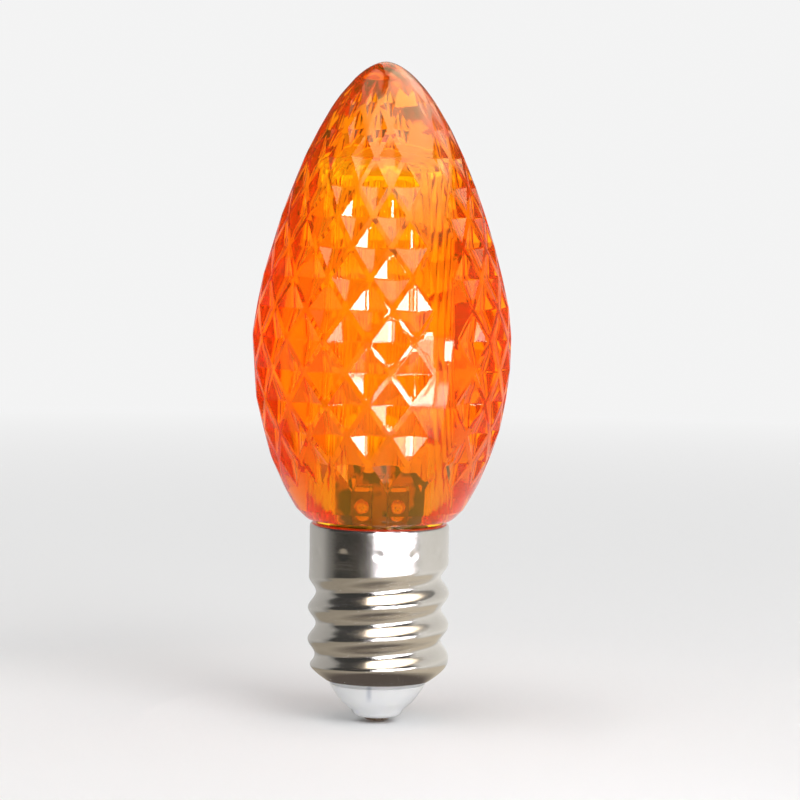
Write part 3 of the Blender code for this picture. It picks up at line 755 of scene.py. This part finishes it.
def along_outline(distance):
    """Radius, z and the outward normal (radial, axial) at a distance from the tip."""
    for (d0, r0, z0), (d1, r1, z1) in zip(outline, outline[1:]):
        if distance <= d1 or d1 == outline_length:
            share = (distance - d0) / (d1 - d0)
            outward = Vector((z0 - z1, r1 - r0)).normalized()
            return r0 + (r1 - r0) * share, z0 + (z1 - z0) * share, outward


lens_bm = bmesh.new()
soften = lens_bm.edges.layers.float.new("bevel_weight_edge")
known = {}


def lattice(row, column, sunk=0.0):
    """The vertex at a row and column of the facet lattice, pressed in along the normal if sunk."""
    key = (round(row, 6), round(column % columns, 6), sunk)
    if key not in known:
        radius, z, normal = along_outline(FIRST_ROW_FROM_TIP + row * row_step)
        depth = sunk * radius / LENS_RADIUS
        radius -= depth * normal[0]
        z -= depth * normal[1]
        angle = facet_phase + column * column_angle
        known[key] = lens_bm.verts.new((radius * math.cos(angle), radius * math.sin(angle), z))
    return known[key]


def land_share(row):
    """The share of a half diagonal that the land takes at the corner of a diamond."""
    half = along_outline(FIRST_ROW_FROM_TIP + row * row_step)[0] * column_angle
    return FACET_LAND / 2 * math.hypot(half, row_step) / (half * row_step)


def north(row, column):
    """The corner towards the tip of the small land at a row and column."""
    return lattice(row - land_share(row), column)


def south(row, column):
    """The corner towards the foot of that land."""
    return lattice(row + land_share(row), column)


def east(row, column):
    """The corner of that land towards the next column."""
    return lattice(row, column + land_share(row))


def west(row, column):
    """The corner of that land towards the column before."""
    return lattice(row, column - land_share(row))


def fan(hub, *rim):
    """Triangles from one vertex to a run of others."""
    for first, second in zip(rim, rim[1:]):
        lens_bm.faces.new((hub, first, second))


def weigh(first, second, share):
    """Sets how much of the crease's width an edge is softened by."""
    lens_bm.edges.get((first, second))[soften] = share


def is_plain(column):
    """Whether a column lies in one of the two strips left smooth at the mould's partings."""
    return (column - PARTING_FIRST_COLUMN) % FACETS_AROUND < PARTING_COLUMNS


def diamond(row, column):
    """One engraved diamond of four sloping faces, or a level one where the strip is plain."""
    top, bottom = south(row - 1, column), north(row + 1, column)
    left, right = east(row, column - 1), west(row, column + 1)
    plain = is_plain(column)
    centre = lattice(row, column, 0.0 if plain else FACET_DEPTH)
    fan(centre, left, top, right, bottom, left)
    if not plain:
        for corner in (top, bottom):
            weigh(centre, corner, 1.0)
        for corner in (left, right):
            weigh(centre, corner, LEVEL_CREASE_SHARE)
    return plain


def land_crossing(row, column):
    """The small land where four diamonds meet, and the two lands that run down from it."""
    crossing = west(row, column), south(row, column), east(row, column), north(row, column)
    lens_bm.faces.new(crossing)
    if row < FACET_ROWS - 1:
        for turn, start, stop in ((1, east, west), (-1, west, east)):
            below = row + 1, column + turn
            land = start(row, column), north(*below), stop(*below), south(row, column)
            lens_bm.faces.new(land)
    return any(is_plain(column + turn) for turn in (-1, 0, 1))


plain_faces = set()
for row in range(1, FACET_ROWS):
    for column in range(columns):
        already = set(lens_bm.faces)
        plain = diamond(row, column) if (row + column) % 2 else land_crossing(row, column)
        if plain:
            plain_faces |= set(lens_bm.faces) - already

# At both ends of the pattern, level triangles fill the teeth between the outermost diamonds.
last = FACET_ROWS
for column in range(columns):
    before, after = column - 1, column + 1
    if column % 2:
        fan(
            north(1, column), west(1, column), south(0, before), lattice(0, before),
            lattice(0, column), lattice(0, after), south(0, after), east(1, column),
        )
    if (last + column) % 2:
        fan(
            south(last - 1, column), east(last - 1, column), north(last, after), lattice(last, after),
            lattice(last, column), lattice(last, before), north(last, before), west(last - 1, column),
        )

# The edge of every engraved diamond is softened a little, because the mould was polished.
for row in range(1, FACET_ROWS):
    for column in range(columns):
        if (row + column) % 2 and not is_plain(column):
            corners = [south(row - 1, column), west(row, column + 1)]
            corners += [north(row + 1, column), east(row, column - 1)]
            for first, second in zip(corners, corners[1:] + corners[:1]):
                weigh(first, second, LAND_EDGE_SHARE)

# The tip above the first row is a smooth cap.
cap = [[lens_bm.verts.new((0, 0, lens_high.z))]]
for share in TIP_CAP_RINGS:
    radius, z, _ = along_outline(FIRST_ROW_FROM_TIP * share)
    cap.append(ring(lens_bm, radius, z, columns, facet_phase))
cap.append([lattice(0, column) for column in range(columns)])
skin(lens_bm, cap)

# Below the last row, a collar leads to the rim, the neck and the hollow, which all have finer sides.
fine = columns * BORE_SIDES_PER_COLUMN
coarse_ring = [lattice(last, column) for column in range(columns)]
radius, z, _ = along_outline(outline_length - LAST_ROW_FROM_FOOT * COLLAR_SHARE)
collar = ring(lens_bm, radius, z, fine, facet_phase)
half_way = BORE_SIDES_PER_COLUMN // 2
for column in range(columns):
    start = column * BORE_SIDES_PER_COLUMN
    fine_run = [collar[(start + i) % fine] for i in range(BORE_SIDES_PER_COLUMN + 1)]
    here, there = coarse_ring[column], coarse_ring[(column + 1) % columns]
    fan(here, *fine_run[: half_way + 1])
    lens_bm.faces.new((here, fine_run[half_way], there))
    fan(there, *fine_run[half_way:])
rest = [collar]
for share in COLLAR_RINGS:
    radius, z, _ = along_outline(outline_length - LAST_ROW_FROM_FOOT * share)
    rest.append(ring(lens_bm, radius, z, fine, facet_phase))
neck_bottom = lens_low.z
foot = rounded([
    (FOOT_RADIUS, rim_z + FOOT_HEIGHT),
    (RIM_RADIUS + FOOT_FLARE, rim_z + FOOT_FLARE_HEIGHT),
    (RIM_RADIUS, rim_z),
    (lens_neck_radius, rim_z),
    (lens_neck_radius, neck_bottom),
    (BORE_RADIUS, neck_bottom),
    (BORE_RADIUS, neck_bottom + MM),
], FOOT_EASE)[1:-1]
rest += [ring(lens_bm, radius, z, fine, facet_phase) for radius, z in foot]

# The core pin drew faint lines down the hollow, of many widths and each leaning its own way.
random.seed(4)
draw_lines = []
for _ in range(DRAW_LINES):
    count = random.randint(9, 70)
    draw_lines.append((count, random.uniform(0, math.tau), random.uniform(-0.3, 0.3)))


def draw_wave(angle, z):
    """How far the draw lines stand out, at an angle and a height."""
    wave = 0.0
    for count, turn, lean in draw_lines:
        wave += math.sin(count * angle + turn + lean * z / DRAW_LINE_LEAN) / math.sqrt(count)
    return DRAW_LINE_HEIGHT * wave


def bore_ring(radius, z):
    """A ring of the hollow, with its draw lines."""
    made = []
    for i in range(fine):
        angle = facet_phase + i * math.tau / fine
        r = radius + draw_wave(angle, z)
        made.append(lens_bm.verts.new((r * math.cos(angle), r * math.sin(angle), z)))
    return made


straight = BORE_DEPTH - BORE_DOME
for i in range(1, BORE_RINGS):
    share = i / BORE_RINGS
    radius = BORE_RADIUS + (BORE_TOP_RADIUS - BORE_RADIUS) * share
    rest.append(bore_ring(radius, neck_bottom + straight * share))
for radius, z in arc((0, neck_bottom + straight), (BORE_TOP_RADIUS, BORE_DOME), 0, 80, 8):
    rest.append(bore_ring(radius, z))
rest.append([lens_bm.verts.new((0, 0, neck_bottom + BORE_DEPTH))])
skin(lens_bm, rest)


def turned_radius(z):
    """The radius of the turned outline at a height."""
    for (_, r0, z0), (_, r1, z1) in zip(outline, outline[1:]):
        if z1 <= z <= z0:
            return r0 + (r1 - r0) * (z0 - z) / (z0 - z1)


# The two plain strips are divided more finely and rounded to the turned outline.
inner = []
for edge in lens_bm.edges:
    if all(face in plain_faces for face in edge.link_faces) and not edge[soften]:
        inner.append(edge)
divided = bmesh.ops.subdivide_edges(lens_bm, edges=inner, cuts=STRIP_CUTS, use_grid_fill=True)
for vertex in divided["geom_inner"]:
    if isinstance(vertex, bmesh.types.BMVert):
        vertex.co.xy *= turned_radius(vertex.co.z) / vertex.co.xy.length

# Looking through the plastic turns it from yellow to deep orange with the thickness.
orange_acrylic = Finish("orange_acrylic", (1.0, 0.80, 0.03), 0.05)
orange_acrylic.set("Transmission Weight", 0.95)
orange_acrylic.set("IOR", 1.49)
orange_acrylic.set("Specular Tint", (1.0, 0.88, 0.68, 1.0))
absorb = orange_acrylic.nodes.new("ShaderNodeVolumeAbsorption")
absorb.inputs["Color"].default_value = (0.996, 0.875, 0.50, 1.0)
absorb.inputs["Density"].default_value = 1000.0
acrylic_output = orange_acrylic.nodes["Material Output"]
orange_acrylic.links.new(absorb.outputs["Volume"], acrylic_output.inputs["Volume"])
orange_acrylic.bump(orange_acrylic.noise(520, detail=2), 0.012 * MM, 0.5)
lens = show("faceted_lens", lens_bm, orange_acrylic.made, 12)
soft_edges = lens.modifiers.new("soft creases", "BEVEL")
soft_edges.limit_method = "WEIGHT"
soft_edges.width = CREASE_WIDTH
soft_edges.segments = 3
soft_edges.harden_normals = True
soft_edges.use_clamp_overlap = True
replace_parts(lens, "lens")

# The studio floor is a wide pale disc. Far out the camera sees it glow like the surround, so no edge
# shows from any side. The metal mirrors a painted glow of it instead, warmer and brighter at the right,
# with a painted shadow of the bulb's foot as a dark oval, and through the lens it is a painted glow
# whose far parts shine brighter than its near ones.
PALE = (0.90, 0.90, 0.90)
FLOOR_RADIUS = 3.0
FLOOR_GAP = 0.05 * MM
FADE_START = 0.06
FADE_END = 0.35
# Painted reflection: glossy rays see the floor glow in this warm colour, dim at the left and brighter at
# the right.
PAINTED_FLOOR_REFLECTION = (0.95, 0.85, 0.70)
REFLECTION_GLOW_HALF_WIDTH = 12 * MM
REFLECTION_GLOW_LEFT = 0.38
REFLECTION_GLOW_RIGHT = 0.70
# Painted shadow of the bulb's foot on the floor, seen only in reflections: its colour and its oval.
FOOT_SHADE = (0.12, 0.10, 0.09)
FOOT_SHADOW_OVAL = (1.5, 1, 1)
FOOT_SHADOW_INSIDE = 8.5 * MM
FOOT_SHADOW_OUTSIDE = 13.5 * MM
# Painted glow of the floor as the lens sees it, stronger from its near parts to its far parts.
THROUGH_START = 0.12
THROUGH_END = 0.30
THROUGH_NEAR = 1.3
THROUGH_FAR = 2.5
floor_bm = bmesh.new()
bmesh.ops.create_circle(floor_bm, cap_ends=True, radius=FLOOR_RADIUS, segments=96)
floor = linked("floor", mesh_from("floor", floor_bm))
floor.location.z = cad_low[2] - FLOOR_GAP
floor_finish = Finish("floor", PALE, 0.9)


def floor_reach(stretch=(1, 1, 1)):
    """The distance of a place on the floor from the bulb's foot."""
    made = floor_finish.nodes.new("ShaderNodeVectorMath")
    made.operation = "LENGTH"
    floor_finish.links.new(floor_finish.coordinates(stretch), made.inputs[0])
    return made.outputs["Value"]


def floor_blend(share, first, second):
    """The first surface where the share is 0 and the second where it is 1."""
    made = floor_finish.nodes.new("ShaderNodeMixShader")
    for socket, source in zip(made.inputs, (share, first, second)):
        floor_finish.links.new(source, socket)
    return made.outputs[0]


rays = floor_finish.nodes.new("ShaderNodeLightPath").outputs
reach = floor_reach()
far_out = floor_finish.spread(reach, FADE_START, FADE_END, 0.0, 1.0)
far_and_seen = floor_finish.reckon("MULTIPLY", far_out, rays["Is Camera Ray"])
surface = floor_blend(far_and_seen, floor_finish.shader.outputs[0], floor_finish.light(PALE))
# Painted reflection: the floor's glow for glossy rays grows from the left to the right.
mirrored = floor_finish.spread(
    floor_finish.axes()["X"], -REFLECTION_GLOW_HALF_WIDTH, REFLECTION_GLOW_HALF_WIDTH, REFLECTION_GLOW_LEFT, REFLECTION_GLOW_RIGHT
)
surface = floor_blend(rays["Is Glossy Ray"], surface, floor_finish.light(PAINTED_FLOOR_REFLECTION, mirrored))
# Painted shadow: near the foot, reflections see a dark oval on the floor.
foot = floor_finish.spread(floor_reach(FOOT_SHADOW_OVAL), FOOT_SHADOW_INSIDE, FOOT_SHADOW_OUTSIDE, 1.0, 0.0)
foot_shadow_mirrored = floor_finish.reckon("MULTIPLY", foot, rays["Is Glossy Ray"])
surface = floor_blend(foot_shadow_mirrored, surface, floor_finish.light(FOOT_SHADE))
# Through the lens the floor is a painted glow, brighter farther out.
through = floor_finish.spread(reach, THROUGH_START, THROUGH_END, THROUGH_NEAR, THROUGH_FAR)
surface = floor_blend(rays["Is Transmission Ray"], surface, floor_finish.light(PALE, through))
floor_finish.outside(surface)
floor.data.materials.append(floor_finish.made)
floor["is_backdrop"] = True

# The surround is as pale as the floor to the camera. It lights the bulb more softly than that and is
# hardly mirrored, while through the plastic it glows, most of all near the horizon.
SURROUND_LIGHTING = 0.55
SURROUND_MIRRORED = 0.05
HORIZON_GLOW = 2.3
OVERHEAD_GLOW = 1.15
HORIZON_TOP = 0.15
world = bpy.data.worlds.new("studio")
bpy.context.scene.world = world
world.use_nodes = True
world_nodes, world_links = world.node_tree.nodes, world.node_tree.links
surround = world_nodes["Background"]
surround.inputs["Color"].default_value = (*PALE, 1.0)
direction = world_nodes.new("ShaderNodeTexCoord")
heights = world_nodes.new("ShaderNodeSeparateXYZ")
world_links.new(direction.outputs["Generated"], heights.inputs[0])
through_plastic = world_nodes.new("ShaderNodeMapRange")
through_plastic.inputs["From Max"].default_value = HORIZON_TOP
through_plastic.inputs["To Min"].default_value = HORIZON_GLOW
through_plastic.inputs["To Max"].default_value = OVERHEAD_GLOW
world_links.new(heights.outputs["Z"], through_plastic.inputs["Value"])
world_rays = world_nodes.new("ShaderNodeLightPath").outputs
seen_strength = None
for ray, strength in (
    ("Is Diffuse Ray", SURROUND_LIGHTING),
    ("Is Glossy Ray", SURROUND_MIRRORED),
    ("Is Transmission Ray", through_plastic.outputs["Result"]),
):
    pick = world_nodes.new("ShaderNodeMix")
    pick.inputs["A"].default_value = 1.0
    if seen_strength:
        world_links.new(seen_strength, pick.inputs["A"])
    if isinstance(strength, float):
        pick.inputs["B"].default_value = strength
    else:
        world_links.new(strength, pick.inputs["B"])
    world_links.new(world_rays[ray], pick.inputs["Factor"])
    seen_strength = pick.outputs["Result"]
world_links.new(seen_strength, surround.inputs["Strength"])

# Curved sheets of light stand round the bulb, as soft boxes and pale walls do in a studio. Only
# reflections see them, so they whiten facets and band the metal and light nothing else.
WHITE = (1.0, 0.99, 0.97)
SOFTBOX = (1.0, 0.99, 1.10)
SOFTBOX_STRENGTH = 36.0
WARM_CLOTH = (1.0, 0.86, 0.70)
WARM_CLOTH_STRENGTH = 5.6
PANE_DISTANCE = 110 * MM
LOW_SOFTBOX_DISTANCE = 50 * MM
SHELL_WALL_DISTANCE = 20 * MM
PALE_WALL_DISTANCE = 42 * MM
LEFT_WALL_DISTANCE = 78 * MM
CLOTH_DISTANCE = 60 * MM
SHEET_STEP_DEG = 4


def glow_sheet(name, distance, columns, colour, strength=1.0):
    """A curved sheet of light round the bulb that only reflections see.

    Each column is an azimuth in degrees from the front, heights in mm from below, and the share of
    the strength at each height. In between, all three change evenly."""
    bm = bmesh.new()
    share = bm.verts.layers.float.new("glow")
    grid = []
    for before, after in zip(columns, columns[1:] + columns[-1:]):
        steps = max(round((after[0] - before[0]) / SHEET_STEP_DEG), 1)
        for i in range(steps):
            t = i / steps
            turn = math.radians(before[0] + (after[0] - before[0]) * t)
            place = Vector((math.sin(turn), -math.cos(turn), 0)) * distance
            run = []
            for z0, z1, glow0, glow1 in zip(before[1], after[1], before[2], after[2]):
                place.z = (z0 + (z1 - z0) * t) * MM
                run.append(bm.verts.new(place))
                run[-1][share] = glow0 + (glow1 - glow0) * t
            grid.append(run)
    for left, right in zip(grid, grid[1:]):
        for i in range(len(left) - 1):
            bm.faces.new((left[i], right[i], right[i + 1], left[i + 1]))
    finish = Finish(name, colour, 1.0)
    stored = finish.nodes.new("ShaderNodeAttribute")
    stored.attribute_name = "glow"
    finish.outside(finish.light(colour, finish.reckon("MULTIPLY", stored.outputs["Fac"], strength)))
    finish.made.cycles.emission_sampling = "NONE"
    made = linked(name, mesh_from(name, bm))
    made.data.materials.append(finish.made)
    made.visible_camera = False
    made.visible_diffuse = False
    made.visible_shadow = False
    made.visible_transmission = False
    made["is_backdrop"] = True


def level_columns(heights, shares):
    """Columns that all have the same heights, from the shares of the glow at each azimuth."""
    return [(azimuth, heights, there) for azimuth, there in shares.items()]


# The panes of the soft box at the front right are small, and each is mirrored by one slope of the
# diamonds: azimuth, height, half width in degrees, half height and share of the strength.
for number, (azimuth, height, half_turn, half_height, share) in enumerate((
    (1, 65, 4.5, 5.0, 1.0),
    (20, 50, 4.5, 6.0, 1.0),
    (38, 38, 5.0, 4.0, 1.0),
    (18, 23, 4.0, 4.5, 1.0),
    (-2, 22, 5.0, 4.0, 1.0),
    (58, 23, 3.5, 4.5, 0.8),
    (37, 31.5, 7.0, 2.5, 0.45),
    (37, 22, 7.0, 7.0, 0.22),
)):
    edges = height - half_height, height + half_height
    glow_sheet(f"softbox_pane_{number}", PANE_DISTANCE, [
        (azimuth - half_turn, edges, (share, share)),
        (azimuth + half_turn, edges, (share, share)),
    ], SOFTBOX, SOFTBOX_STRENGTH)

# Low down, the same soft box draws the bright upright bands on the front of the metal.
glow_sheet("low_softbox", LOW_SOFTBOX_DISTANCE, level_columns((0, 12, 14, 19, 21, 24), {
    -6: (0.02, 0.02, 0.3, 0.3, 0.0, 0.0),
    2: (0.02, 0.02, 0.3, 0.3, 0.0, 0.0),
    6: (0.05, 0.05, 0.05, 0.05, 0.03, 0.02),
    10: (0.05, 0.05, 1.0, 1.0, 0.03, 0.02),
    20: (0.05, 0.05, 1.0, 1.0, 0.03, 0.02),
    26: (0.05, 0.06, 0.6, 0.6, 0.17, 0.17),
    43: (0.05, 0.06, 0.7, 0.7, 0.18, 0.18),
    45: (0.05, 0.05, 0.03, 0.03, 0.03, 0.02),
    49: (0.04, 0.04, 0.25, 0.25, 0.02, 0.02),
    57: (0.03, 0.03, 0.25, 0.25, 0.02, 0.02),
}), SOFTBOX, SOFTBOX_STRENGTH)

# A pale wall stands at the right and behind. The metal mirrors it from close by, and the flank of the
# lens more faintly.
glow_sheet("shell_wall", SHELL_WALL_DISTANCE, level_columns((0, 5, 22), {
    58: (0.4, 0.6, 0.5),
    66: (0.6, 0.9, 0.7),
    150: (0.65, 0.9, 0.7),
    190: (0.45, 0.6, 0.5),
    266: (0.35, 0.5, 0.4),
    282: (0.2, 0.25, 0.15),
}), WHITE)
glow_sheet("pale_wall", PALE_WALL_DISTANCE, level_columns((9, 13, 50), {
    57: (0.3, 0.25, 0.2),
    120: (0.3, 0.25, 0.2),
    136: (0.65, 0.65, 0.5),
    200: (0.65, 0.65, 0.5),
    226: (0.45, 0.45, 0.3),
    240: (0.15, 0.1, 0.05),
    248: (0.15, 0.1, 0.05),
}), WHITE)

# A dark screen at the left, paler at its two ends, shades the left side of the metal.
glow_sheet("left_wall", LEFT_WALL_DISTANCE, level_columns((0, 6, 14), {
    246: (0.3, 0.3, 0.2),
    276: (0.2, 0.2, 0.1),
    288: (0.06, 0.05, 0.03),
    330: (0.03, 0.03, 0.02),
    346: (0.12, 0.1, 0.05),
    358: (0.9, 0.9, 0.4),
}), WHITE)

# A warm cloth hangs high up, lowest at the right, and lays a soft veil on the tip of the lens.
cloth_heights = (65, 100, 260, 600)
glow_sheet("soft_top", CLOTH_DISTANCE, [
    (-150, (115, 150, 260, 800), (0.0, 0.35, 0.45, 0.3)),
    (-42, (115, 150, 260, 800), (0.0, 0.35, 0.4, 0.2)),
    (-30, (75, 105, 180, 300), (0.0, 1.0, 0.8, 0.1)),
    (-10, (70, 100, 220, 400), (0.0, 1.0, 0.8, 0.15)),
    (6, cloth_heights, (0.0, 1.0, 1.1, 0.7)),
    (140, cloth_heights, (0.0, 1.0, 1.1, 0.7)),
    (160, cloth_heights, (0.0, 0.4, 0.4, 0.4)),
    (190, cloth_heights, (0.0, 0.4, 0.4, 0.4)),
], WARM_CLOTH, WARM_CLOTH_STRENGTH)

# Two square lamps light the bulb and the floor: a key lamp from the front right and a wide one from
# nearly overhead. Reflections and the lens don't see them.
LAMP_DISTANCE = 0.6
LAMP_AIM_HEIGHT = 27 * MM


def square_lamp(name, azimuth_deg, elevation_deg, size, watts):
    turn, lift = math.radians(azimuth_deg), math.radians(elevation_deg)
    level = math.cos(lift)
    away = Vector((math.sin(turn) * level, -math.cos(turn) * level, math.sin(lift)))
    lamp = bpy.data.lights.new(name, "AREA")
    lamp.shape = "SQUARE"
    lamp.size = size
    lamp.energy = watts
    made = linked(name, lamp)
    made.location = Vector((0, 0, LAMP_AIM_HEIGHT)) + away * LAMP_DISTANCE
    made.rotation_euler = away.to_track_quat("Z", "Y").to_euler()
    made.visible_glossy = False
    made.visible_transmission = False
    made.visible_camera = False


square_lamp("key", 35, 30, size=0.35, watts=1.6)
square_lamp("top", -30, 75, size=0.4, watts=1.2)

# The camera stands level with the upper part of the lens and looks slightly down, as in the photo,
# with a little roll. Light may bounce often, because it passes many walls of the faceted lens.
PIXEL = 0.0835 * MM
PICTURE_PIXELS = 800
CAMERA_DISTANCE = 3200 * PIXEL
CAMERA_HEIGHT = 45.6 * MM
AIM_HEIGHT = 27.0 * MM
AIM_SIDE = 1.56 * MM
CAMERA_ROLL_DEG = 0.86
SENSOR = 36.0
camera = bpy.data.cameras.new("camera")
eye = Vector((AIM_SIDE, -CAMERA_DISTANCE, CAMERA_HEIGHT))
aim = Vector((AIM_SIDE, 0, AIM_HEIGHT))
camera.sensor_width = SENSOR
camera.lens = SENSOR * (eye - aim).length / (PICTURE_PIXELS * PIXEL)
camera.clip_start = 0.01
bpy.context.scene.cycles.max_bounces = 24
bpy.context.scene.cycles.transmission_bounces = 24
bpy.context.scene.cycles.glossy_bounces = 8
camera_object = linked("camera", camera)
camera_object.location = eye
turn_to_aim = (aim - eye).to_track_quat("-Z", "Y")
camera_object.rotation_euler = turn_to_aim.to_euler()
camera_object.rotation_euler.rotate_axis("Z", math.radians(CAMERA_ROLL_DEG))
bpy.context.scene.camera = camera_object
bpy.context.scene.view_settings.view_transform = "Standard"

low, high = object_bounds()
